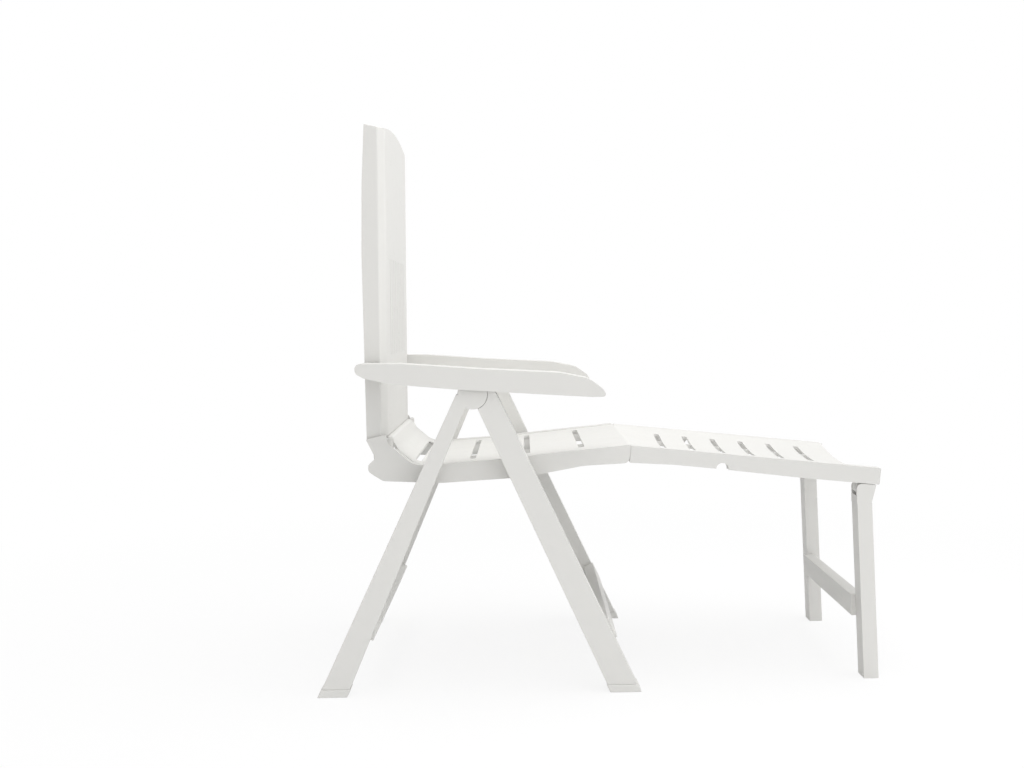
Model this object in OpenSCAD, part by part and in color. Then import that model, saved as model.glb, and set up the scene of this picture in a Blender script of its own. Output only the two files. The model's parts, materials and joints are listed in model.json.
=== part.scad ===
// Folding sun lounger in moulded plastic: reclining back, notched armrests, footrest on folding legs.
// X runs from the back to the feet, Y to the sitter's left, Z up; the floor is Z = 0.

/* [Overall] */
// Width over the outer faces of the chair legs
leg_outer_w = 610; // [590:2:640]
// Height of the leg pivot above the floor
pivot_h = 567; // [555:1:580]

/* [Chair legs] */
// Thickness of a leg across the chair
leg_t = 38; // [36:1:42]
// Radius of the lapped heads at the pivot
head_r = 28; // [25:0.5:29]
// Front leg's foot, from the pivot to the middle of the foot
front_reach = 276; // [266:1:284]
// Rear leg's foot, from the pivot to the middle of the foot
rear_reach = 278; // [268:1:288]
// Front leg's width along the chair at the pivot
front_top_w = 48; // [42:1:50]
// Front leg's width along the chair at the floor
front_foot_w = 56; // [50:1:62]
// Rear leg's width along the chair at the pivot
rear_top_w = 28; // [24:1:30]
// Rear leg's width along the chair at the floor
rear_foot_w = 54; // [46:1:60]
// Wall of the hollow moulded into each leg
leg_wall = 4.5; // [3.5:0.5:6]
// Height of a foot cap
cap_h = 15; // [12:1:24]
// How far a foot cap stands out round its leg
cap_lip = 1.5; // [1:0.5:4]

/* [Crossbars] */
// Height of the front crossbar's middle above the floor
bar_z = 113; // [104:1:130]
// Height of the rear crossbar's middle above the floor
rear_bar_z = 118; // [104:1:130]
// Height of a crossbar's section
bar_h = 42; // [36:1:48]
// Thickness of the front crossbar and of the footrest's crossbar
bar_t = 23; // [20:1:26]
// Thickness of the rear crossbar
rear_bar_t = 24; // [22:1:28]
// How far the front crossbar stands in front of its legs
front_proud = 4; // [0:0.5:6]
// How far the rear crossbar stands in front of its legs
rear_proud = 6; // [4:0.5:8]
// Length of the tenon that enters a leg
tenon_l = 22; // [14:1:28]

/* [Seat] */
// Drop from the leg pivot to the seat's pivot on the front legs
seat_drop = 155; // [149:1:161]
// Length of the spacers between the front legs and the seat's rails
spacer_l = 20; // [17:1:28]
// Width of a seat or footrest rail
rail_w = 26; // [25:1:30]
// Wall of the moulded rails
rail_wall = 4; // [3:0.5:5]
// Thickness of the seat and footrest pans
pan_t = 4.5; // [3.5:0.5:6]
// Number of slots across the seat
seat_slots = 4; // [2:1:4]
// Distance between the seat's slots
seat_slot_pitch = 107; // [90:1:108]
// Length of a seat slot
seat_slot_l = 366; // [300:2:380]
// Width of a slot in the seat or footrest
slot_w = 12; // [8:1:14]
// Thickness of the cheeks that hold the back
cheek_t = 6.5; // [6:0.5:9]

/* [Backrest] */
// Height of the backrest above its hinge, at the middle of the crest
back_h = 668; // [640:1:690]
// Rise of the crest from its ends to its middle
crest_rise = 19; // [8:1:26]
// Depth of the backrest's side rails
back_depth = 39; // [36:1:44]
// How much thinner the side rails are at the crest
back_taper = 14; // [6:1:18]
// Width of a side rail
back_rail_w = 25; // [22:1:30]
// Number of slots in the backrest
back_slots = 9; // [5:2:11]
// Width of a slot in the backrest
back_slot_w = 6; // [5:0.5:10]
// Slack between the backrest and the seat's cheeks on each side
back_slack = 1; // [0.6:0.1:2]

/* [Armrests] */
// Height of the armrest's pivot above the back's hinge
arm_pivot_up = 184; // [180:1:188]
// Width of an armrest
arm_w = 60; // [58.5:0.5:64]
// Wall of an armrest's flanges
arm_wall = 3.5; // [3:0.5:4]
// Thickness of an armrest's top
arm_top = 4.5; // [3.5:0.5:5]
// Slack between an armrest's outer flange and the leg head
arm_slack = 4.5; // [3:0.5:5.5]
// Most that the back leans back from upright, in degrees
recline_max = 42; // [38:1:43]
// Turn of an armrest against the back, as a share of the recline
arm_ratio = 0.76; // [0.74:0.01:0.78]
// Number of positions of the back
positions = 5; // [3:1:6]
// Depth of the rack's notches above the pin's path
notch_depth = 4.5; // [3:0.5:6]

/* [Footrest] */
// Length of the footrest from its hinge
foot_l = 491; // [470:1:500]
// Slope of the footrest, in degrees
foot_drop = 6.3; // [5.5:0.1:7.5]
// Depth of the footrest's dish at its middle
dish = 21; // [14:0.5:23]
// Number of slots across the footrest
foot_slots = 6; // [4:1:6]
// Distance between the footrest's slots
foot_slot_pitch = 62.5; // [50:0.5:63]
// Length of a footrest slot
foot_slot_l = 350; // [160:2:364]
// Radius of the half-round notch under each footrest rail
rail_notch_r = 12; // [8:1:14]
// Width of a footrest leg along the chair
prop_w = 28; // [26:1:31]
// Width of a footrest leg across the chair
prop_t = 42; // [40:1:48]
// Outward lean of the footrest legs, in degrees
prop_lean = 1.7; // [0.5:0.1:2.5]
// From the footrest's far end back to its legs
prop_setback = 14; // [9:1:18]
// Height of the footrest crossbar's middle above the floor
prop_bar_z = 134; // [115:1:160]

/* [Pins] */
// Radius of the leg pivot pins
leg_pin_r = 7; // [6:0.5:8]
// Radius of the seat pivot pins
seat_pin_r = 8; // [6:0.5:9]
// Radius of the backrest, armrest and footrest pins
small_pin_r = 5.5; // [4.5:0.5:6]
// Radial running clearance of a pin in its bore
fit = 0.06; // [0.03:0.01:0.1]
// Gap between faces that turn or slide past each other
gap = 0.5; // [0.4:0.1:0.8]
// Gap between moulded pieces that push together
seat_gap = 0.2; // [0.1:0.05:0.3]

/* [Hidden] */
$fn = 64;
plastic = [0.93, 0.93, 0.915];
plastic_dark = [0.86, 0.86, 0.845];

seat_pivot_h = pivot_h - seat_drop;
rail_outer_w = leg_outer_w - 2 * leg_t - 2 * spacer_l;

// planes across the chair, on the right-hand side
leg_y0 = -leg_outer_w / 2;
leg_y1 = leg_y0 + leg_t;
lap_y = leg_y0 + leg_t / 2;
rail_y0 = -rail_outer_w / 2;
rail_y1 = rail_y0 + rail_w;
back_y0 = rail_y0 + cheek_t + back_slack;
back_y1 = back_y0 + back_rail_w;
arm_y0 = leg_y0 - arm_slack - arm_wall;
arm_y1 = arm_y0 + arm_w;
prop_y1 = rail_y0 + prop_t;

// the leg pivot is the middle of the side view, and everything hangs on it
T = [0, pivot_h];
front_top_mid = front_top_w / 2 - 3;
rear_top_mid = rear_top_w / 2 - head_r / cos(25);
function leg_mid(top, reach, z) = top + (reach - top) * (pivot_h - z) / pivot_h;
function leg_half(top_w, foot_w, z) = (top_w + (foot_w - top_w) * (pivot_h - z) / pivot_h) / 2;
function front_mid(z) = leg_mid(front_top_mid, front_reach, z);
function rear_mid(z) = leg_mid(rear_top_mid, -rear_reach, z);
function front_half(z) = leg_half(front_top_w, front_foot_w, z);
function rear_half(z) = leg_half(rear_top_w, rear_foot_w, z);
front_lean = atan((front_reach - front_top_mid) / pivot_h);
rear_lean = atan((rear_reach + rear_top_mid) / pivot_h);

// seat pivot, back hinge, armrest pivot and footrest hinge
S = [front_mid(seat_pivot_h), seat_pivot_h];
B = S + [-267, 12];
A = B + [-12, arm_pivot_up];
hinge_x = 193;
hinge_reach = 12;
H = S + [hinge_x, 26];
bolster_r = 9;
rest_z = seat_pivot_h - 21;
rest = [rear_mid(rest_z), rest_z];
cheek_r = 66;
tongue_r = 16;

// footrest frame: x runs along the footrest from its hinge, z up from it
foot_top = 22;
foot_under = -10;
lug_r = 10;
prop_pivot = [foot_l - prop_setback - prop_w + lug_r + 0.5, foot_under - 2 - lug_r];
function turn(a, p) = [p[0] * cos(a) - p[1] * sin(a), p[0] * sin(a) + p[1] * cos(a)];
function foot_to_world(p) = H + turn(-foot_drop, p);
F = foot_to_world(prop_pivot);
// middle of a footrest leg at height z
function prop_x(z) = F[0] - lug_r - 0.5 + prop_w / 2 + (F[1] - z) * tan(prop_lean);

// the whole length over the rear feet and the footrest's end, for the middle of the plan
x_min = -rear_reach - rear_foot_w / 2 - cap_lip;
x_max = foot_to_world([foot_l, foot_top])[0];
mid_x = (x_min + x_max) / 2;

function unit(v) = v / norm(v);
function heading(v) = atan2(v[1], v[0]);
function wrapped(a) = a > 180 ? a - 360 : a < -180 ? a + 360 : a;
// points of the arc that rounds corner b between a and c with radius r
function corner_arc(a, b, c, r, n) =
  let (
    u = unit(a - b), v = unit(c - b), half = acos(u * v) / 2,
    o = b + unit(u + v) * r / sin(half),
    s = heading(b + u * r / tan(half) - o), e = heading(b + v * r / tan(half) - o)
  ) [for (i = [0:n]) o + r * [cos(s + wrapped(e - s) * i / n), sin(s + wrapped(e - s) * i / n)]];
function flat(p) = [p[0], p[1]];
// an outline of [x, z, radius] corners, with each radius drawn as an arc
function rounded(p, n = 6) = [
  for (i = [0:len(p) - 1])
    each p[i][2] > 0
      ? corner_arc(flat(p[(i + len(p) - 1) % len(p)]), flat(p[i]), flat(p[(i + 1) % len(p)]), p[i][2], n)
      : [flat(p[i])]
];
// the same along an open path, whose ends stay sharp
function smooth_path(p, n = 6) = [
  for (i = [0:len(p) - 1])
    each i > 0 && i < len(p) - 1 && p[i][2] > 0
      ? corner_arc(flat(p[i - 1]), flat(p[i]), flat(p[i + 1]), p[i][2], n)
      : [flat(p[i])]
];
// a strip of thickness t below a path that runs towards +X
function below(p, i, t) =
  let (d = unit(p[min(i + 1, len(p) - 1)] - p[max(i - 1, 0)])) p[i] + t * [d[1], -d[0]];
function strip(p, t) = concat(p, [for (i = [len(p) - 1:-1:0]) below(p, i, t)]);

// side view drawn in x and z, as a slab from y0 to y1
module slab(y0, y1) translate([0, y1, 0]) rotate([90, 0, 0]) linear_extrude(y1 - y0) children();
module rod(at, r, y0, y1) translate([at[0], y1, at[1]]) rotate([90, 0, 0]) cylinder(r = r, h = y1 - y0);
module at_point(p) translate([p[0], 0, p[1]]) children();
module left() mirror([0, 1, 0]) children();
module both() {
  children();
  left() children();
}
module place() translate([-mid_x, 0, 0]) children();

// a pin with a flat head on its inner end
module headed_pin(at, r, y0, y1, head_r, head_t) {
  rod(at, r, y0, y1 + 0.5);
  rod(at, head_r, y1, y1 + head_t);
}

/* chair legs */

module front_outline(z0, z1, inset = 0) polygon([
  [front_mid(z1) - front_half(z1) + inset, z1], [front_mid(z1) + front_half(z1) - inset, z1],
  [front_mid(z0) + front_half(z0) - inset, z0], [front_mid(z0) - front_half(z0) + inset, z0]
]);
module rear_outline(z0, z1, inset = 0) polygon([
  [rear_mid(z1) - rear_half(z1) + inset, z1], [rear_mid(z1) + rear_half(z1) - inset, z1],
  [rear_mid(z0) + rear_half(z0) - inset, z0], [rear_mid(z0) - rear_half(z0) + inset, z0]
]);

// a point that stands ahead of a leg's front edge, square to the leg
function front_ahead(d) =
  [front_mid(bar_z) + front_half(bar_z), bar_z] + d * [cos(front_lean), sin(front_lean)];
function rear_ahead(d) =
  [rear_mid(rear_bar_z) + rear_half(rear_bar_z), rear_bar_z] + d * [cos(rear_lean), -sin(rear_lean)];
tenon_t = 10;
tenon_h = 28;
tenon_in = -7.5;
// the front leg's outer half goes on above the pivot, behind the disc
head_out = 22;
head_gap = 0.6;

module bar_box(at, lean, y0, y1, t, h)
  at_point(at) rotate([0, lean, 0]) translate([-t / 2, y0, -h / 2]) cube([t, y1 - y0, h]);

// a channel-section crossbar, open below, with a tenon at each end
module crossbar(at, tenon_at, lean, t, half_l) {
  difference() {
    bar_box(at, lean, -half_l, half_l, t, bar_h);
    at_point(at) rotate([0, lean, 0])
      translate([-t / 2 + leg_wall, -half_l + 30, -bar_h])
        cube([t - 2 * leg_wall, 2 * half_l - 60, 1.35 * bar_h]);
  }
  both() bar_box(tenon_at, lean, half_l - 25, half_l + tenon_l, tenon_t, tenon_h);
}
module mortise(tenon_at, lean, y1)
  bar_box(tenon_at, lean, y1 - tenon_l - 1, y1 + 1, tenon_t + 2 * seat_gap, tenon_h + 2 * seat_gap);
// the block left standing in a leg's hollow round its mortise
module mortise_block(tenon_at, lean, y0, y1) bar_box(tenon_at, lean, y0, y1, tenon_t + 9, tenon_h + 10);

module front_leg() difference() {
  union() {
    difference() {
      slab(leg_y0, leg_y1) front_outline(cap_h, pivot_h + head_out);
      difference() {
        slab(leg_y0 + leg_wall, leg_y1 - leg_wall) front_outline(cap_h - 1, pivot_h - head_r - 16, leg_wall);
        mortise_block(front_ahead(tenon_in), -front_lean, leg_y0, leg_y1);
        rod(S, seat_pin_r + 6, leg_y0, leg_y1);
      }
      // the rear leg's head turns in this half
      rod(T, head_r + head_gap, leg_y0 - 1, lap_y + gap / 2);
      slab(lap_y, leg_y1 + 1) translate(T + [-60, 0]) square([120, 60]);
    }
    slab(lap_y + gap / 2, leg_y1) {
      translate(T) circle(head_r);
      translate(T + [front_top_mid - 3, -2]) circle(front_top_w / 2 + 2);
    }
  }
  rod(T, leg_pin_r + fit, leg_y0 - 1, leg_y1 + 1);
  rod(S, seat_pin_r + fit, leg_y0 + leg_wall, leg_y1 + 1);
  mortise(front_ahead(tenon_in), -front_lean, leg_y1);
}

module rear_leg() difference() {
  union() {
    difference() {
      slab(leg_y0, leg_y1) rear_outline(cap_h, pivot_h);
      difference() {
        slab(leg_y0 + leg_wall, leg_y1 - leg_wall) rear_outline(cap_h - 1, pivot_h - head_r - 16, leg_wall);
        mortise_block(rear_ahead(tenon_in), rear_lean, leg_y0, leg_y1);
      }
      // the front leg's head turns in this half
      rod(T, head_r + head_gap, lap_y - gap / 2, leg_y1 + 1);
    }
    rod(T, head_r, leg_y0, lap_y - gap / 2);
    // bolster that carries the seat's rail
    rod(rest, bolster_r, leg_y0 + 1, rail_y1);
  }
  rod(T, leg_pin_r + fit, leg_y0 + leg_wall, leg_y1 + 1);
  mortise(rear_ahead(tenon_in), rear_lean, leg_y1);
}

bar_half_l = -leg_y1 - seat_gap;
module front_crossbar()
  crossbar(front_ahead(front_proud - bar_t / 2), front_ahead(tenon_in), -front_lean, bar_t, bar_half_l);
module rear_crossbar()
  crossbar(rear_ahead(rear_proud - rear_bar_t / 2), rear_ahead(tenon_in), rear_lean, rear_bar_t, bar_half_l);

// a foot cap: a tread that stands out round the leg, with a plug that enters it
module front_foot_cap() {
  slab(leg_y0 - cap_lip, leg_y1 + cap_lip) front_outline(0, cap_h - seat_gap, -cap_lip);
  slab(leg_y0 + leg_wall + seat_gap, leg_y1 - leg_wall - seat_gap)
    front_outline(cap_h - 2, cap_h + 18, leg_wall + seat_gap);
}
module rear_foot_cap() {
  slab(leg_y0 - cap_lip, leg_y1 + cap_lip) rear_outline(0, cap_h - seat_gap, -cap_lip);
  slab(leg_y0 + leg_wall + seat_gap, leg_y1 - leg_wall - seat_gap)
    rear_outline(cap_h - 2, cap_h + 18, leg_wall + seat_gap);
}

// joins the legs and stands out inwards, where the armrest's rack comes down on it
stub_y = leg_y1 + 9;
module leg_pivot_pin() rod(T, leg_pin_r, leg_y0 + leg_wall + 1, stub_y);
module seat_pivot_pin() headed_pin(S, seat_pin_r, leg_y0 + leg_wall + 1, rail_y1 + gap, seat_pin_r + 4, 4);
module seat_spacer() difference() {
  rod(S, seat_pin_r + 6, leg_y1 + gap / 2, rail_y0 - gap / 2);
  rod(S, seat_pin_r + fit, leg_y1 - 1, rail_y0 + 1);
}

/* seat */

// the seat's whole side outline, from its pivot
seat_outline = [
  concat(B + cheek_r * [sin(5), cos(5)] - S, 3), [-256, 60, 14], [-208, 17, 45], [-58, 25.5, 300],
  [hinge_x + hinge_reach, 49, 2], [hinge_x + hinge_reach, 14, hinge_reach - 0.1], [117, 10.5, 150],
  [2, -9, 200], [-158, -17, 200], [-268, -11, 22], [-297, 8, 12], [-295, 21, 5], [-281, 33, 7],
  concat(B + cheek_r * [-sin(29), cos(29)] - S, 2)
];
pan_path = smooth_path([
  [-250, 66, 0], [-239, 46, 40], [-204, 16.5, 45], [-58, 24, 300], [hinge_x + hinge_reach - 0.5, 47.8, 0]
]);
seat_rib_y = 104;
seat_slot_x = 116;

module seat_rail() {
  difference() {
    slab(rail_y0, rail_y1) translate(S) polygon(rounded(seat_outline));
    slab(rail_y0 + rail_wall, rail_y1 - rail_wall) translate(S) difference() {
      polygon([
        [-236, 8], [-196, 11], [-58, 20.6], [hinge_x + hinge_reach + 2, 44],
        [hinge_x + hinge_reach + 2, -40], [-236, -40]
      ]);
      circle(seat_pin_r + 8);
    }
    // behind the channel only the cheek is left, so that the back's tongue can swing
    slab(rail_y0 + cheek_t, rail_y1 + 1) translate(B + [-120, -80]) square([120 + tongue_r + 8, 200]);
  }
  // pads round the footrest's hinge pin
  rod(H, hinge_reach - 0.1, rail_y0 + 1, rail_y0 + 7);
  rod(H, hinge_reach - 0.1, rail_y1 - 7, rail_y1);
}

// a slot with round ends, cut straight down
module slot_cut(l, h) {
  translate([-slot_w / 2, -(l - slot_w) / 2, 0]) cube([slot_w, l - slot_w, h]);
  for (s = [-1, 1]) translate([0, s * (l - slot_w) / 2, 0]) cylinder(r = slot_w / 2, h = h, $fn = 32);
}

module seat() difference() {
  union() {
    both() seat_rail();
    difference() {
      slab(rail_y1 - 1, -rail_y1 + 1) translate(S) polygon(strip(pan_path, pan_t));
      for (i = [0:seat_slots - 1])
        translate([S[0] + seat_slot_x - i * seat_slot_pitch, 0, S[1] - 10]) slot_cut(seat_slot_l, 80);
    }
    both() slab(seat_rib_y - 2, seat_rib_y + 2) translate(S)
      polygon(strip(smooth_path([[-192, 13, 0], [-58, 22, 300], [184, 43.5, 0]]), 13));
  }
  both() {
    rod(S, seat_pin_r + fit, rail_y0 - 1, rail_y1 + 1);
    rod(H, small_pin_r + fit, rail_y0 + 2.5, rail_y1 + 1);
    rod(B, small_pin_r + fit, rail_y0 + 2.5, rail_y1 + 1);
    rod(rest, bolster_r + gap, rail_y0 - 1, rail_y1 + 1);
  }
}

module back_hinge_pin() headed_pin(B, small_pin_r, rail_y0 + 3, back_y1 + gap, small_pin_r + 3.5, 3);

/* backrest: drawn from its hinge */

back_front = 6;
back_rear = back_front + 2 - back_depth;
// the panel leans forward of the hinge, and the crest slopes down towards the front
back_lean = 0.9;
crest_slope = 14;
// the front falls away by edge_drop over edge_run at each side
edge_drop = 10;
edge_run = 30;
back_rib_z = 150;
back_rib_top = 168;
back_rib_pitch = (back_h - back_rib_z - back_rib_top) / 2;
panel_z0 = 61;
panel_t = 5;
back_side = [
  [back_front + 16, tongue_r - 4, 0], [back_front + 16, back_h + 20, 0],
  [back_rear + back_taper - 1, back_h + 20, 0],
  [back_rear + 4, back_h - 124, 600], [back_rear, back_h - 260, 600], [back_rear, 56, 8], [-19, 33, 8],
  [-tongue_r, 0, 0], [0, 0, 0]
];

// front view of the backrest, as wide as w on each side, drawn in y and z
module leaning() rotate([0, back_lean, 0]) children();
module back_plan() polygon(rounded([
  [-140, back_y0, 0], [back_front - edge_drop, back_y0, 4], [back_front, back_y0 + edge_run, 60],
  [back_front, -back_y0 - edge_run, 60], [back_front - edge_drop, -back_y0, 4], [-140, -back_y0, 0]
]));
module back_face(w, z0, drop, corner_r) {
  crest_r = (w * w + crest_rise * crest_rise) / (2 * crest_rise);
  intersection() {
    translate([0, back_h - drop - crest_r]) circle(crest_r, $fn = 256);
    polygon(rounded([
      [-w, z0, 0], [-w, back_h - drop - crest_rise * 0.97, corner_r], [0, back_h + 30, 0],
      [w, back_h - drop - crest_rise * 0.97, corner_r], [w, z0, 0]
    ]));
  }
}
module across(x0, x1) translate([x0, 0, 0]) rotate([90, 0, 90]) linear_extrude(x1 - x0) children();

module back_ribs(x) for (i = [0:2])
  translate([x, back_y0, back_rib_z + back_rib_pitch * i]) cube([back_depth, -2 * back_y0, 3.5]);

module back_body() {
  both() rod([0, 0], tongue_r, back_y0, back_y1);
  intersection() {
    slab(back_y0 - 1, 1 - back_y0) polygon(rounded(back_side, 8));
    leaning() translate([0, 0, -40]) linear_extrude(back_h + 90) back_plan();
    // the crest slopes down towards the front
    translate([back_front, 0, back_h]) rotate([0, crest_slope, 0]) translate([-back_front, 0, -back_h])
      across(-300, 300) back_face(1 - back_y0, -tongue_r - 20, -1, 0);
  }
}

module backrest() at_point(B) difference() {
  back_body();
  // the space behind the panel and between the side rails
  difference() {
    leaning() across(-90, back_front - panel_t) back_face(-back_y1, panel_z0, 8, 12);
    back_ribs(back_rear + 16);
  }
  translate([back_rear - 2, back_y1, -tongue_r - 2])
    cube([back_depth + 40, -2 * back_y1, tongue_r + 2 + panel_z0]);
  // channels in the side rails, open to the rear
  both() difference() {
    leaning() translate([back_front - panel_t - edge_drop - 90, back_y0 + 4, 70])
      cube([90, back_rail_w - 8, back_h - 110]);
    rod(A - B, small_pin_r + 8, back_y0, back_y1);
    back_ribs(back_rear - 2);
  }
  both() {
    rod([0, 0], small_pin_r + fit, back_y0 - 1, back_y1 + 1);
    rod(A - B, small_pin_r + fit, back_y0 - 1, back_y1 + 1);
  }
  for (i = [0:back_slots - 1]) translate([0, (i - (back_slots - 1) / 2) * 34 - back_slot_w / 2, 216])
    cube([20, back_slot_w, 190]);
}

/* armrests: drawn where they rest, from the leg pivot */

arm_front = 252;
arm_rear = -219;
arm_outline = [
  [arm_rear, 62, 10], [-126, 59.5, 200], [15, 47.5, 300], [163, 37.5, 120], [arm_front - 36, 26, 30],
  [arm_front - 10, 7, 14], [arm_front, -9, 5], [arm_front - 30, -9, 12], [70, 2.5, 300], [-27, 10, 300],
  [-153, 23, 60], [arm_rear + 19, 34, 18], [arm_rear + 3, 43, 8]
];
function path_below(d, x0 = -205) = smooth_path([
  [x0, 61.7 - d, 0], [-126, 59.5 - d, 200], [15, 47.5 - d, 300], [163, 37.5 - d, 120],
  [arm_front - 36 - d * 0.3, 26 - d, 30], [arm_front - 10 - d, 7 - d * 0.6, 14], [arm_front - 4 - d, -9, 0]
]);
// the leg pivot's place in the armrest when the back leans by a
function pin_in_arm(a) = let (p = B + turn(a, A - B)) A + turn(-(1 - arm_ratio) * a, T - p) - T;
rack_t = 6;
rack_y1 = leg_y1 + 1.5 + rack_t;
function rack_edge(a) = pin_in_arm(a) + [0, leg_pin_r + 0.9];

module rack() difference() {
  intersection() {
    slab(leg_y1 + 1.5, rack_y1) translate(T) polygon(concat(
      [[-24, 40], [-20, -7], [-11, -7], [-8.2, 3], [-4.4, 8.2]],
      [for (i = [0:20]) rack_edge(recline_max * i / 20)],
      [pin_in_arm(recline_max) + [14, leg_pin_r + 2], pin_in_arm(recline_max) + [40, 60]]
    ));
    slab(leg_y1, rack_y1 + 1) translate(T)
      polygon(concat(path_below(2), [[arm_front - 6, -60], [-205, -60]]));
  }
  for (i = [0:positions - 1])
    let (
      p = pin_in_arm(recline_max * i / (positions - 1)),
      up = i == 0 || i == positions - 1 ? 0 : notch_depth
    )
      rod(T + p + [0, up], leg_pin_r + 0.9, leg_y1, rack_y1 + 1);
}

module armrest() difference() {
  union() {
    difference() {
      slab(arm_y0, arm_y1) translate(T) polygon(rounded(arm_outline));
      // the channel, open below, that takes the leg heads
      difference() {
        slab(arm_y0 + arm_wall, arm_y1 - arm_wall) translate(T)
          polygon(concat(path_below(arm_top), [[arm_front - 4 - arm_top, -60], [-205, -60]]));
        rod(A, small_pin_r + 7, arm_y0, arm_y1);
      }
    }
    rack();
    rod(A, 14, arm_y1 - 1, back_y0 - 1);
  }
  rod(A, small_pin_r + fit, arm_y0 + 8, back_y0);
}
module armrest_pin() headed_pin(A, small_pin_r, arm_y0 + 9, back_y1 + gap, small_pin_r + 3.5, 3);

/* footrest: drawn in its own frame */

module in_foot() at_point(H) rotate([0, foot_drop, 0]) children();
foot_x0 = hinge_reach + 0.6;
foot_outline = [
  [foot_x0, foot_top + 1, 2], [foot_l, foot_top, 3], [foot_l, foot_under, 3], [340, foot_under, 300],
  [180, -7, 300], [95, -6.7, 200], [foot_x0, foot_under - 0.5, 2]
];
lug_t = 8;
pan_w = 2 - rail_y1;
// at the hinge the dish starts flat, and sinks to its full depth over seam_run
seam_dish = 5;
seam_run = 85;
function arch_r(d) = (pan_w * pan_w + d * d) / (2 * d);
foot_slot_x = 106;
foot_rib_y = 92;

module foot_rail() {
  difference() {
    slab(rail_y0, rail_y1) polygon(rounded(foot_outline));
    slab(rail_y0 + rail_wall, rail_y1 - rail_wall) difference() {
      translate([foot_x0 + 14, foot_under - 30])
        square([foot_l - foot_x0 - 19, foot_top + 25.5 - foot_under]);
      for (i = [1:5]) translate([foot_l * i / 6 - 1.5, -40]) square([3, 80]);
    }
    rod([190, -7], rail_notch_r, rail_y0 - 1, rail_y1 + 1);
  }
  // tongue that enters the seat's rail
  slab(rail_y0 + 7 + gap, rail_y1 - 7 - gap) {
    circle(hinge_reach - 1);
    translate([0, -8]) square([foot_x0 + 6, 17]);
  }
  // lug that the footrest leg forks round
  slab(rail_y0 + lug_t + gap, prop_y1 - lug_t - gap) {
    translate(prop_pivot) circle(lug_r);
    translate(prop_pivot - [lug_r, 0]) square([2 * lug_r, foot_under + 4 - prop_pivot[1]]);
  }
  slab(rail_y1 - 1, prop_y1 - lug_t - gap)
    translate([prop_pivot[0] - 14, foot_under]) square([34, 9]);
}

// the space above the dished pan, lowered by t: a long arch cut by one that rises to the hinge
module dish_space(t) translate([0, 0, foot_top - 0.3 - t]) intersection() {
  across(foot_x0 - 5, foot_l + 5) translate([0, arch_r(dish) - dish]) circle(arch_r(dish), $fn = 720);
  translate([foot_x0, 0, 0]) rotate([0, atan((dish - seam_dish) / seam_run), 0])
    across(-30, foot_l + 30)
      translate([0, arch_r(seam_dish) - seam_dish]) circle(arch_r(seam_dish), $fn = 720);
}
// the part of the footrest between its rails, from x0 to x1 and down to z0
module foot_bay(x0, x1, z0) translate([x0, -pan_w, z0]) cube([x1 - x0, 2 * pan_w, foot_top - 0.8 - z0]);

module footrest() in_foot() difference() {
  union() {
    both() foot_rail();
    difference() {
      intersection() {
        foot_bay(foot_x0, foot_l - 3, -30);
        dish_space(pan_t);
      }
      for (i = [0:foot_slots - 1])
        translate([foot_slot_x + i * foot_slot_pitch, 0, -20]) slot_cut(foot_slot_l, 60);
    }
    // front apron and rear edge, hung under the pan
    for (x = [foot_x0, foot_l - 7]) intersection() {
      foot_bay(x, x + 4, -30);
      dish_space(12);
    }
    both() slab(foot_rib_y - 2, foot_rib_y + 2)
      translate([foot_x0 + 1, foot_top - 27]) square([foot_l - foot_x0 - 6, 25]);
  }
  dish_space(0);
  both() {
    rod([0, 0], small_pin_r + fit, rail_y0 - 1, rail_y1 + 1);
    rod(prop_pivot, small_pin_r + fit, rail_y0 + 3, prop_y1 + 1);
  }
}
module footrest_hinge_pin() headed_pin(H, small_pin_r, rail_y0 + 3, rail_y1 + gap, small_pin_r + 3.5, 3);
module footrest_leg_pin() headed_pin(F, small_pin_r, rail_y0 + 3.5, prop_y1 + gap, small_pin_r + 3.5, 3);

/* footrest legs */

module prop_outline(z0, z1, inset = 0) polygon([
  [prop_x(z1) - prop_w / 2 + inset, z1], [prop_x(z1) + prop_w / 2 - inset, z1],
  [prop_x(z0) + prop_w / 2 - inset, z0], [prop_x(z0) - prop_w / 2 + inset, z0]
]);
prop_bar = [prop_x(prop_bar_z) - prop_w / 2 + bar_t / 2 - 9, prop_bar_z];
prop_tenon = [prop_x(prop_bar_z) - prop_w / 2 + 3 + tenon_t / 2, prop_bar_z];
// underside of the footrest rail at the legs, less the gap above a leg's head
function under_rail(x) = foot_to_world([foot_l, foot_under])[1] + (x_max - x) * tan(foot_drop) - 1.5;
prop_front = prop_x(F[1]) + prop_w / 2;
prop_flare = 9;

// side view of a leg's head: square in front of the pivot and flared out to the rail's end, with its rear
// corner rounded about the pivot
prop_head = rounded([
  [F[0] - lug_r - 0.4, F[1] - 28, 0], [F[0] - lug_r - 0.4, under_rail(F[0] - lug_r), lug_r - 0.6],
  [prop_front + prop_flare, under_rail(prop_front + prop_flare), 1], [prop_front, F[1] - 26, 0],
  [prop_front - 4, F[1] - 28, 0]
], 10);

module footrest_leg() difference() {
  slab(rail_y0, prop_y1) {
    prop_outline(0, F[1] - 26);
    polygon(prop_head);
  }
  // the fork that takes the footrest's lug
  slab(rail_y0 + lug_t, prop_y1 - lug_t) translate(F - [40, lug_r + 2]) square([80, 60]);
  // the hollow, open at the foot
  difference() {
    slab(rail_y0 + leg_wall, prop_y1 - leg_wall) prop_outline(-1, F[1] - lug_r - 12, leg_wall);
    mortise_block(prop_tenon, -prop_lean, rail_y0, prop_y1);
  }
  rod(F, small_pin_r + fit, rail_y0 + 3, prop_y1 + 1);
  mortise(prop_tenon, -prop_lean, prop_y1);
}
module footrest_crossbar() crossbar(prop_bar, prop_tenon, -prop_lean, bar_t, -prop_y1 - seat_gap);

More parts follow.
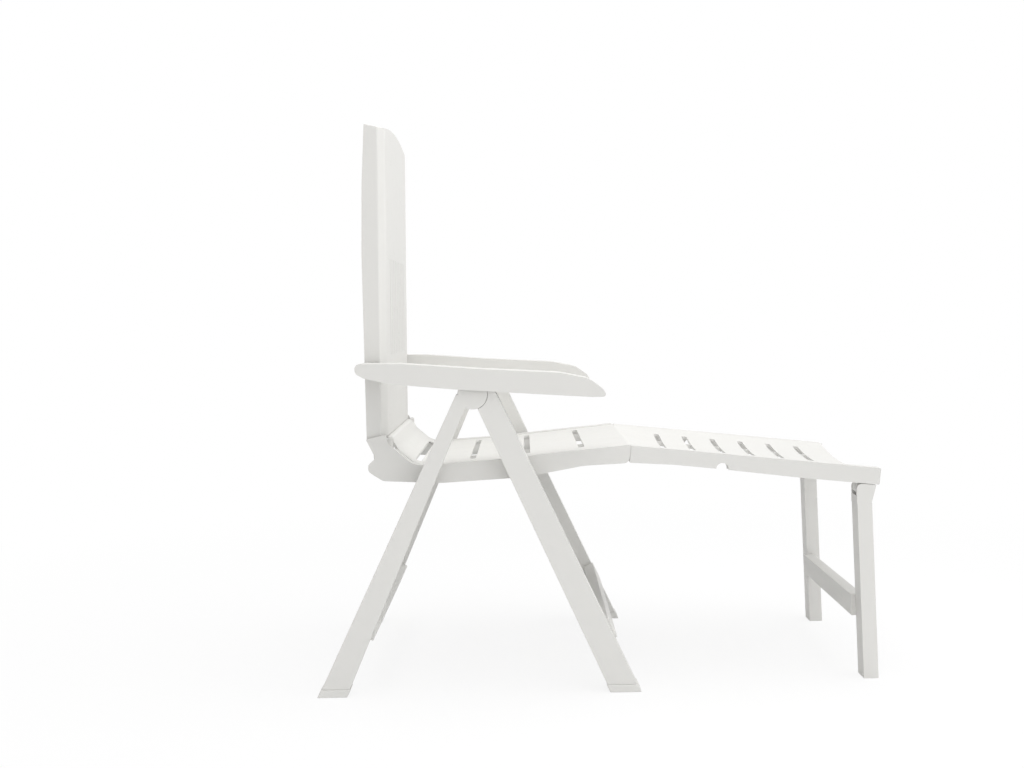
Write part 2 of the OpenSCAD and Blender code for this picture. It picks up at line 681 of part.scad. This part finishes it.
place() color(plastic) front_leg();  // front_leg_right
place() color(plastic) left() front_leg();  // front_leg_left
place() color(plastic) front_crossbar();
place() color(plastic_dark) front_foot_cap();  // front_foot_cap_right
place() color(plastic_dark) left() front_foot_cap();  // front_foot_cap_left
place() color(plastic_dark) leg_pivot_pin();  // leg_pivot_pin_right
place() color(plastic_dark) left() leg_pivot_pin();  // leg_pivot_pin_left
place() color(plastic_dark) seat_pivot_pin();  // seat_pivot_pin_right
place() color(plastic_dark) left() seat_pivot_pin();  // seat_pivot_pin_left
place() color(plastic_dark) seat_spacer();  // seat_spacer_right
place() color(plastic_dark) left() seat_spacer();  // seat_spacer_left
place() color(plastic) rear_leg();  // rear_leg_right
place() color(plastic) left() rear_leg();  // rear_leg_left
place() color(plastic) rear_crossbar();
place() color(plastic_dark) rear_foot_cap();  // rear_foot_cap_right
place() color(plastic_dark) left() rear_foot_cap();  // rear_foot_cap_left
place() color(plastic) seat();
place() color(plastic_dark) back_hinge_pin();  // back_hinge_pin_right
place() color(plastic_dark) left() back_hinge_pin();  // back_hinge_pin_left
place() color(plastic) backrest();
place() color(plastic_dark) armrest_pin();  // armrest_pin_right
place() color(plastic_dark) left() armrest_pin();  // armrest_pin_left
place() color(plastic) armrest();  // armrest_right
place() color(plastic) left() armrest();  // armrest_left
place() color(plastic) footrest();
place() color(plastic_dark) footrest_hinge_pin();  // footrest_hinge_pin_right
place() color(plastic_dark) left() footrest_hinge_pin();  // footrest_hinge_pin_left
place() color(plastic) footrest_leg();  // footrest_leg_right
place() color(plastic) left() footrest_leg();  // footrest_leg_left
place() color(plastic) footrest_crossbar();
place() color(plastic_dark) footrest_leg_pin();  // footrest_leg_pin_right
place() color(plastic_dark) left() footrest_leg_pin();  // footrest_leg_pin_left
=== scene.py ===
# Looks of the folding sun lounger: camera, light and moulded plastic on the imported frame.
import json
import math

import bmesh
import bpy
from mathutils import Matrix, Vector


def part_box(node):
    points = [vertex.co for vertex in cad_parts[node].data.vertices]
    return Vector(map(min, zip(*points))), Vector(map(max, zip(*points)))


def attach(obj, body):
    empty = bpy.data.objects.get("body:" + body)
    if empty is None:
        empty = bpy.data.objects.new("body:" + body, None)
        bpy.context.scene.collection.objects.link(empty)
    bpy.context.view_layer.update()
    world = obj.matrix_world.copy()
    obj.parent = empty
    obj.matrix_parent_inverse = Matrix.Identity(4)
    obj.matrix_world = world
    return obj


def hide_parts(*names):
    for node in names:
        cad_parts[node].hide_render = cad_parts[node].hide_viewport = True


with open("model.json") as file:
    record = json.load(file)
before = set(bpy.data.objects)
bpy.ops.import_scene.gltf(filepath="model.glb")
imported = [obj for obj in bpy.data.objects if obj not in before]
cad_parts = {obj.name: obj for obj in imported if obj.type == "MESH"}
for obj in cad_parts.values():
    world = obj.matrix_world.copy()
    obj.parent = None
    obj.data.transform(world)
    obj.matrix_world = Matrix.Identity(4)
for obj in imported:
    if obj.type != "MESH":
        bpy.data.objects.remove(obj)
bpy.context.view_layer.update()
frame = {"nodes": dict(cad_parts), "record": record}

bodyOf = {node: body for body, nodes in frame["record"]["behaviour"]["bodies"].items() for node in nodes}
slotOf = {part["node"]: part["material_slot"] for part in frame["record"]["subparts"]}
hingeAt = {joint["name"]: joint["pos_m"] for joint in frame["record"]["behaviour"]["joints"]}

# camera: the photograph's own viewpoint, in metres from the middle of the plan
view = {
    "lens": 43.59,
    "sensor": 36.0,
    "clip": (0.05, 60.0),
    "place": (-0.1364, -2.605, 0.7079),
    "right": (0.99972, 0.00886, -0.02232),
    "up": (0.0218, 0.05355, 0.99833),
    "back": (0.01004, -0.99853, 0.05334),
}


def placeCamera():
    data = bpy.data.cameras.new("photoCamera")
    data.lens = view["lens"]
    data.sensor_width = view["sensor"]
    data.clip_start, data.clip_end = view["clip"]
    camera = bpy.data.objects.new("photoCamera", data)
    bpy.context.scene.collection.objects.link(camera)
    turn = Matrix((view["right"], view["up"], view["back"])).transposed()
    camera.matrix_world = Matrix.Translation(view["place"]) @ turn.to_4x4()
    bpy.context.scene.camera = camera
    print("camera placed")


def addNode(tree, kind, values=None, **settings):
    # a shader node with its own settings, and plain numbers on the inputs that are named
    node = tree.nodes.new(kind)
    for setting, value in settings.items():
        setattr(node, setting, value)
    for socket, value in (values or {}).items():
        node.inputs[socket].default_value = value
    return node


def emptyTree(owner):
    owner.use_nodes = True
    owner.node_tree.nodes.clear()
    return owner.node_tree


# moulded plastic: white with a warm drift, a fine stipple, shallow sink marks, rub marks and a little dust
mouldedPlastic = {
    "base": (0.688, 0.684, 0.664, 1),
    "warm": (0.712, 0.704, 0.677, 1),
    "driftScale": 3.1,
    "roughness": (0.40, 0.54),
    "roughScale": 38.0,
    "stippleScale": 900.0,
    "stippleDepth": 0.00014,
    "stippleStrength": 0.3,
    "sinkScale": 7.0,
    "sinkDepth": 0.0007,
    "sinkStrength": 0.35,
    "flowStretch": (5.0, 60.0, 60.0),
    "flowTint": 0.35,
    "rubStretch": (420.0, 26.0, 130.0),
    "rubLimits": (0.63, 0.72),
    "rubRoughness": 0.16,
    "rubTurn": (0.3, 0.2, 0.5),
    "shine": 0.42,
    "dust": (0.60, 0.585, 0.545, 1),
    "dustShare": 0.14,
    "dustScale": 16.0,
    "dustLimits": (0.46, 0.72),
}
# caps, spacers and pins: a plainer, slightly greyer and smoother plastic
plainPlastic = {
    **mouldedPlastic,
    "base": (0.69, 0.688, 0.668, 1),
    "warm": (0.715, 0.708, 0.68, 1),
    "roughness": (0.32, 0.44),
    "stippleScale": 520.0,
    "stippleDepth": 0.00008,
    "dustShare": 0.2,
}


def makePlastic(name, look):
    material = bpy.data.materials.new(name)
    tree = emptyTree(material)
    link = tree.links.new
    out = addNode(tree, "ShaderNodeOutputMaterial")
    shader = addNode(tree, "ShaderNodeBsdfPrincipled", {"Specular IOR Level": look["shine"]})
    link(shader.outputs["BSDF"], out.inputs["Surface"])
    place = addNode(tree, "ShaderNodeTexCoord").outputs["Object"]

    # colour: slow drift between two whites, with faint flow marks along the mould
    drift = addNode(tree, "ShaderNodeTexNoise", {"Scale": look["driftScale"], "Detail": 4.0})
    link(place, drift.inputs["Vector"])
    stretch = addNode(tree, "ShaderNodeMapping", {"Scale": look["flowStretch"]})
    link(place, stretch.inputs["Vector"])
    flow = addNode(tree, "ShaderNodeTexNoise", {"Scale": 1.0, "Detail": 3.0})
    link(stretch.outputs["Vector"], flow.inputs["Vector"])
    streak = addNode(tree, "ShaderNodeMix", {0: look["flowTint"]}, data_type="FLOAT")
    link(drift.outputs["Fac"], streak.inputs[2])
    link(flow.outputs["Fac"], streak.inputs[3])
    white = addNode(tree, "ShaderNodeMix", {"A": look["base"], "B": look["warm"]}, data_type="RGBA")
    link(streak.outputs[0], white.inputs[0])

    # dust that settles in patches on faces that look up
    facing = addNode(tree, "ShaderNodeNewGeometry")
    upright = addNode(tree, "ShaderNodeSeparateXYZ")
    link(facing.outputs["Normal"], upright.inputs[0])
    patch = addNode(tree, "ShaderNodeTexNoise", {"Scale": look["dustScale"], "Detail": 5.0, "Roughness": 0.62})
    link(place, patch.inputs["Vector"])
    settle = addNode(
        tree, "ShaderNodeMapRange",
        {"From Min": look["dustLimits"][0], "From Max": look["dustLimits"][1], "To Max": look["dustShare"]},
    )
    link(patch.outputs["Fac"], settle.inputs["Value"])
    lying = addNode(tree, "ShaderNodeMath", operation="MULTIPLY", use_clamp=True)
    link(upright.outputs["Z"], lying.inputs[0])
    link(settle.outputs["Result"], lying.inputs[1])
    dusted = addNode(tree, "ShaderNodeMix", {"B": look["dust"]}, data_type="RGBA")
    link(lying.outputs[0], dusted.inputs[0])
    link(white.outputs["Result"], dusted.inputs["A"])
    link(dusted.outputs["Result"], shader.inputs["Base Color"])

    # roughness: an uneven sheen, duller where the surface was rubbed
    uneven = addNode(tree, "ShaderNodeTexNoise", {"Scale": look["roughScale"], "Detail": 6.0})
    link(place, uneven.inputs["Vector"])
    sheen = addNode(
        tree, "ShaderNodeMapRange", {"To Min": look["roughness"][0], "To Max": look["roughness"][1]}
    )
    link(uneven.outputs["Fac"], sheen.inputs["Value"])
    drag = addNode(tree, "ShaderNodeMapping", {"Scale": look["rubStretch"], "Rotation": look["rubTurn"]})
    link(place, drag.inputs["Vector"])
    rub = addNode(tree, "ShaderNodeTexNoise", {"Scale": 1.0, "Detail": 2.0})
    link(drag.outputs["Vector"], rub.inputs["Vector"])
    marks = addNode(
        tree, "ShaderNodeMapRange",
        {"From Min": look["rubLimits"][0], "From Max": look["rubLimits"][1], "To Max": look["rubRoughness"]},
    )
    link(rub.outputs["Fac"], marks.inputs["Value"])
    worn = addNode(tree, "ShaderNodeMath", operation="ADD")
    link(sheen.outputs["Result"], worn.inputs[0])
    link(marks.outputs["Result"], worn.inputs[1])
    link(worn.outputs[0], shader.inputs["Roughness"])

    # relief: shallow sink marks under the stipple of the mould
    sink = addNode(tree, "ShaderNodeTexNoise", {"Scale": look["sinkScale"]})
    link(place, sink.inputs["Vector"])
    slow = addNode(tree, "ShaderNodeBump", {"Strength": look["sinkStrength"], "Distance": look["sinkDepth"]})
    link(sink.outputs["Fac"], slow.inputs["Height"])
    stipple = addNode(tree, "ShaderNodeTexNoise", {"Scale": look["stippleScale"], "Detail": 3.0})
    link(place, stipple.inputs["Vector"])
    fine = addNode(
        tree, "ShaderNodeBump", {"Strength": look["stippleStrength"], "Distance": look["stippleDepth"]}
    )
    link(stipple.outputs["Fac"], fine.inputs["Height"])
    link(slow.outputs["Normal"], fine.inputs["Normal"])
    link(fine.outputs["Normal"], shader.inputs["Normal"])
    return material


def makeMaterials():
    made = {
        "moulded_plastic": makePlastic("mouldedPlastic", mouldedPlastic),
        "plain_plastic": makePlastic("plainPlastic", plainPlastic),
    }
    print("materials made")
    return made


# outer edges as the moulds round them, by the start of a node's name: width in metres, and steps
edgeRound = {
    "front_leg": (0.0026, 3),
    "rear_leg": (0.0026, 3),
    "front_crossbar": (0.0018, 3),
    "rear_crossbar": (0.0018, 3),
    "front_foot_cap": (0.0012, 2),
    "rear_foot_cap": (0.0012, 2),
    "seat_spacer": (0.0006, 2),
    "seat": (0.0013, 2),
    "backrest": (0.0016, 3),
    "armrest_right": (0.0022, 3),
    "armrest_left": (0.0022, 3),
    "footrest_leg_right": (0.0022, 3),
    "footrest_leg_left": (0.0022, 3),
    "footrest_crossbar": (0.0018, 3),
    "footrest": (0.0011, 2),
}


# angles in degrees and lengths in metres: what counts as one flat face, as an outer edge and as a sharp one
edgeRule = {"merge": 0.00002, "flatWithin": 0.4, "roundFrom": 32, "sharpFrom": 47, "flatWeight": 80}


def finishPiece(name, shape, material):
    # smooth over the rounded edges, with the wide faces kept flat
    mesh = bpy.data.meshes.new(name)
    shape.to_mesh(mesh)
    shape.free()
    mesh.shade_smooth()
    mesh.set_sharp_from_angle(angle=math.radians(edgeRule["sharpFrom"]))
    mesh.materials.append(material)
    piece = bpy.data.objects.new(name, mesh)
    bpy.context.scene.collection.objects.link(piece)
    flat = piece.modifiers.new("flatFaces", "WEIGHTED_NORMAL")
    flat.keep_sharp = True
    flat.weight = edgeRule["flatWeight"]
    cut = piece.modifiers.new("cutFaces", "TRIANGULATE")
    cut.min_vertices = 5
    cut.keep_custom_normals = True
    return piece


def roundEdges(shape, edges, width, steps):
    bmesh.ops.bevel(
        shape, geom=edges, offset=width, offset_type="OFFSET", segments=steps, profile=0.5,
        affect="EDGES", clamp_overlap=True, material=-1,
    )


def softEdges(name, width, steps, material):
    # a copy of the CAD piece, merged, with its flat faces made whole and its outer edges rounded
    shape = bmesh.new()
    shape.from_mesh(frame["nodes"][name].data)
    bmesh.ops.remove_doubles(shape, verts=shape.verts[:], dist=edgeRule["merge"])
    bmesh.ops.dissolve_degenerate(shape, edges=shape.edges[:], dist=edgeRule["merge"])
    bmesh.ops.dissolve_limit(
        shape, angle_limit=math.radians(edgeRule["flatWithin"]), verts=shape.verts[:], edges=shape.edges[:],
        use_dissolve_boundaries=False,
    )
    outer = [
        edge for edge in shape.edges
        if edge.is_manifold and edge.is_convex
        and edge.calc_face_angle(0) > math.radians(edgeRule["roundFrom"]) and edge.calc_length() > width
    ]
    roundEdges(shape, outer, width, steps)
    return finishPiece(name + "Soft", shape, material)


def dressFrame(materials):
    for name, obj in frame["nodes"].items():
        obj.data.materials.clear()
        obj.data.materials.append(materials[slotOf[name]])
    for name in sorted(frame["nodes"]):
        starts = [start for start in edgeRound if name.startswith(start)]
        if not starts or "pin" in name:
            continue
        width, steps = edgeRound[max(starts, key=len)]
        piece = softEdges(name, width, steps, materials[slotOf[name]])
        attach(piece, bodyOf[name])
        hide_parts(name)
    print("frame dressed")


def addPrism(shape, outline, start, end, hinge):
    # a side view in metres from a hinge, drawn out from start to end across the seat
    corners = [shape.verts.new((hinge[0] + x, start, hinge[2] + z)) for x, z in outline]
    side = shape.faces.new(corners)
    grown = bmesh.ops.extrude_face_region(shape, geom=[side])
    far = [item for item in grown["geom"] if isinstance(item, bmesh.types.BMVert)]
    bmesh.ops.translate(shape, vec=(0, end - start, 0), verts=far)


def finishOnSeat(name, shape, material):
    bmesh.ops.recalc_face_normals(shape, faces=shape.faces[:])
    piece = finishPiece(name, shape, material)
    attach(piece, bodyOf["seat"])


# a lip on the curled end of the pan, which goes on under the back's panel: side view in metres from the back's hinge
curlLip = {
    "outline": (
        (0.0185, 0.0500), (0.0176, 0.0530), (0.0160, 0.0556), (0.0125, 0.0580), (0.0070, 0.0595), (0.0000, 0.0600),
        (-0.0045, 0.0597), (-0.0045, 0.0567), (0.0000, 0.0570), (0.0063, 0.0565), (0.0112, 0.0552), (0.0140, 0.0530),
        (0.0155, 0.0500),
    ),
    "halfWidth": 0.2138,
}


def makeCurlLip(material):
    shape = bmesh.new()
    addPrism(shape, curlLip["outline"], -curlLip["halfWidth"], curlLip["halfWidth"], hingeAt["back_fold"])
    finishOnSeat("curlLip", shape, material)
    print("curl lip made")


# a lip on the seat's front end that closes the wedge before the footrest: deep at the rails, shallow across the pan,
# side views in metres from the footrest's hinge
seamLip = {
    "rail": ((0.0113, -0.0012), (0.0122, -0.0012), (0.0143, 0.0187), (0.0139, 0.0206), (0.0113, 0.0211)),
    "pan": ((0.0108, 0.0172), (0.0141, 0.0172), (0.0143, 0.0187), (0.0139, 0.0206), (0.0108, 0.0211)),
    "inset": 0.0004,
    "railWidth": 0.0061,
}


def makeSeamLip(material):
    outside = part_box("seat")[1][1] - seamLip["inset"]
    inside = outside - seamLip["railWidth"]
    shape = bmesh.new()
    for side in (-1, 1):
        addPrism(shape, seamLip["rail"], side * inside, side * outside, hingeAt["footrest_fold"])
    addPrism(shape, seamLip["pan"], -inside, inside, hingeAt["footrest_fold"])
    finishOnSeat("seamLip", shape, material)
    print("seam lip made")


# ears that fill the corners between the cheeks and the curled end of the pan: two slats side by side on each side,
# in metres from the back's hinge
hingeEar = {
    "from": (0.0088, 0.0275),
    "to": (0.0182, 0.0600),
    "cheek": 0.0060,
    "width": 0.0260,
    "split": 0.0035,
    "round": 0.0024,
}


def makeHingeEars(material):
    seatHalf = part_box("seat")[1][1]
    hinge = hingeAt["back_fold"]
    low, high = hingeEar["from"], hingeEar["to"]
    slat = (hingeEar["width"] - hingeEar["split"]) / 2
    for side, name in ((-1, "hingeEarRight"), (1, "hingeEarLeft")):
        shape = bmesh.new()
        for count in range(2):
            block = bmesh.ops.create_cube(shape, size=1.0)["verts"]
            bmesh.ops.scale(shape, vec=(high[0] - low[0], slat, high[1] - low[1]), verts=block)
            middle = (
                hinge[0] + (low[0] + high[0]) / 2,
                side * (seatHalf - hingeEar["cheek"] - slat / 2 - count * (slat + hingeEar["split"])),
                hinge[2] + (low[1] + high[1]) / 2,
            )
            bmesh.ops.translate(shape, vec=middle, verts=block)
        roundEdges(shape, shape.edges[:], hingeEar["round"], 3)
        finishOnSeat(name, shape, material)
    print("hinge ears made")


# studio: white paper and backdrop where the camera sees them, a sky that is brighter towards the feet, a soft top
# light and a broad fill from the front
studio = {
    "floorSize": 30.0,
    "floor": (0.88, 0.88, 0.88, 1),
    "whiteShare": 0.84,
    "fade": (0.9, 2.3),
    "sky": (0.30, 1.18),
    "backdrop": 1.0,
    "top": {"place": (0.2, -0.3, 3.2), "aim": (0.0, 0.0, 0.4), "size": (3.0, 3.0), "power": 62.0},
    "fill": {"place": (0.5, -4.4, 1.0), "aim": (0.0, 0.0, 0.5), "size": (3.6, 2.2), "power": 21.0},
}


def whiteToCamera(tree, share, glossyShare):
    # how much white a ray sees: these shares for the camera and for reflections, none for the light on the object
    path = addNode(tree, "ShaderNodeLightPath")
    direct = addNode(tree, "ShaderNodeMath", {1: share}, operation="MULTIPLY")
    tree.links.new(path.outputs["Is Camera Ray"], direct.inputs[0])
    if share < 1:
        # away from the object the paper turns white, so that it has no horizon
        away = addNode(tree, "ShaderNodeVectorMath", operation="LENGTH")
        tree.links.new(addNode(tree, "ShaderNodeTexCoord").outputs["Object"], away.inputs[0])
        fade = addNode(
            tree, "ShaderNodeMapRange",
            {"From Min": studio["fade"][0], "From Max": studio["fade"][1], "To Min": share, "To Max": 1.0},
            interpolation_type="SMOOTHSTEP",
        )
        tree.links.new(away.outputs["Value"], fade.inputs["Value"])
        tree.links.new(fade.outputs["Result"], direct.inputs[1])
    mirrored = addNode(tree, "ShaderNodeMath", {1: glossyShare}, operation="MULTIPLY")
    tree.links.new(path.outputs["Is Glossy Ray"], mirrored.inputs[0])
    either = addNode(tree, "ShaderNodeMath", operation="MAXIMUM")
    tree.links.new(direct.outputs[0], either.inputs[0])
    tree.links.new(mirrored.outputs[0], either.inputs[1])
    return either.outputs[0]


def buildFloor():
    bpy.ops.mesh.primitive_plane_add(size=studio["floorSize"], location=(0, 0, 0))
    floor = bpy.context.object
    floor.name = "floor"
    material = bpy.data.materials.new("floorPaper")
    tree = emptyTree(material)
    out = addNode(tree, "ShaderNodeOutputMaterial")
    paper = addNode(tree, "ShaderNodeBsdfPrincipled", {"Base Color": studio["floor"], "Roughness": 0.9})
    white = addNode(tree, "ShaderNodeEmission", {"Strength": 1.0})
    mix = addNode(tree, "ShaderNodeMixShader")
    tree.links.new(whiteToCamera(tree, studio["whiteShare"], studio["whiteShare"] / 2), mix.inputs[0])
    tree.links.new(paper.outputs["BSDF"], mix.inputs[1])
    tree.links.new(white.outputs[0], mix.inputs[2])
    tree.links.new(mix.outputs[0], out.inputs["Surface"])
    floor.data.materials.append(material)


def addArea(name, lamp):
    data = bpy.data.lights.new(name, "AREA")
    data.shape = "RECTANGLE"
    data.size, data.size_y = lamp["size"]
    data.energy = lamp["power"]
    light = bpy.data.objects.new(name, data)
    bpy.context.scene.collection.objects.link(light)
    light.location = lamp["place"]
    light.rotation_euler = (Vector(lamp["aim"]) - Vector(lamp["place"])).to_track_quat("-Z", "Y").to_euler()


def buildLight():
    world = bpy.data.worlds.new("studio")
    bpy.context.scene.world = world
    tree = emptyTree(world)
    out = addNode(tree, "ShaderNodeOutputWorld")
    sky = addNode(tree, "ShaderNodeBackground", {"Color": (1, 1, 1, 1)})
    towards = addNode(tree, "ShaderNodeSeparateXYZ")
    tree.links.new(addNode(tree, "ShaderNodeTexCoord").outputs["Generated"], towards.inputs[0])
    slope = addNode(
        tree, "ShaderNodeMapRange",
        {"From Min": -1.0, "From Max": 1.0, "To Min": studio["sky"][0], "To Max": studio["sky"][1]},
    )
    tree.links.new(towards.outputs["X"], slope.inputs["Value"])
    tree.links.new(slope.outputs["Result"], sky.inputs["Strength"])
    seen = addNode(tree, "ShaderNodeBackground", {"Color": (1, 1, 1, 1), "Strength": studio["backdrop"]})
    mix = addNode(tree, "ShaderNodeMixShader")
    tree.links.new(whiteToCamera(tree, 1.0, 0.0), mix.inputs[0])
    tree.links.new(sky.outputs[0], mix.inputs[1])
    tree.links.new(seen.outputs[0], mix.inputs[2])
    tree.links.new(mix.outputs[0], out.inputs["Surface"])
    addArea("topSoft", studio["top"])
    addArea("frontFill", studio["fill"])


placeCamera()
materials = makeMaterials()
dressFrame(materials)
makeCurlLip(materials["moulded_plastic"])
makeSeamLip(materials["moulded_plastic"])
makeHingeEars(materials["moulded_plastic"])
buildFloor()
buildLight()
bpy.context.scene.view_settings.view_transform = "Standard"
print("floor and light set")
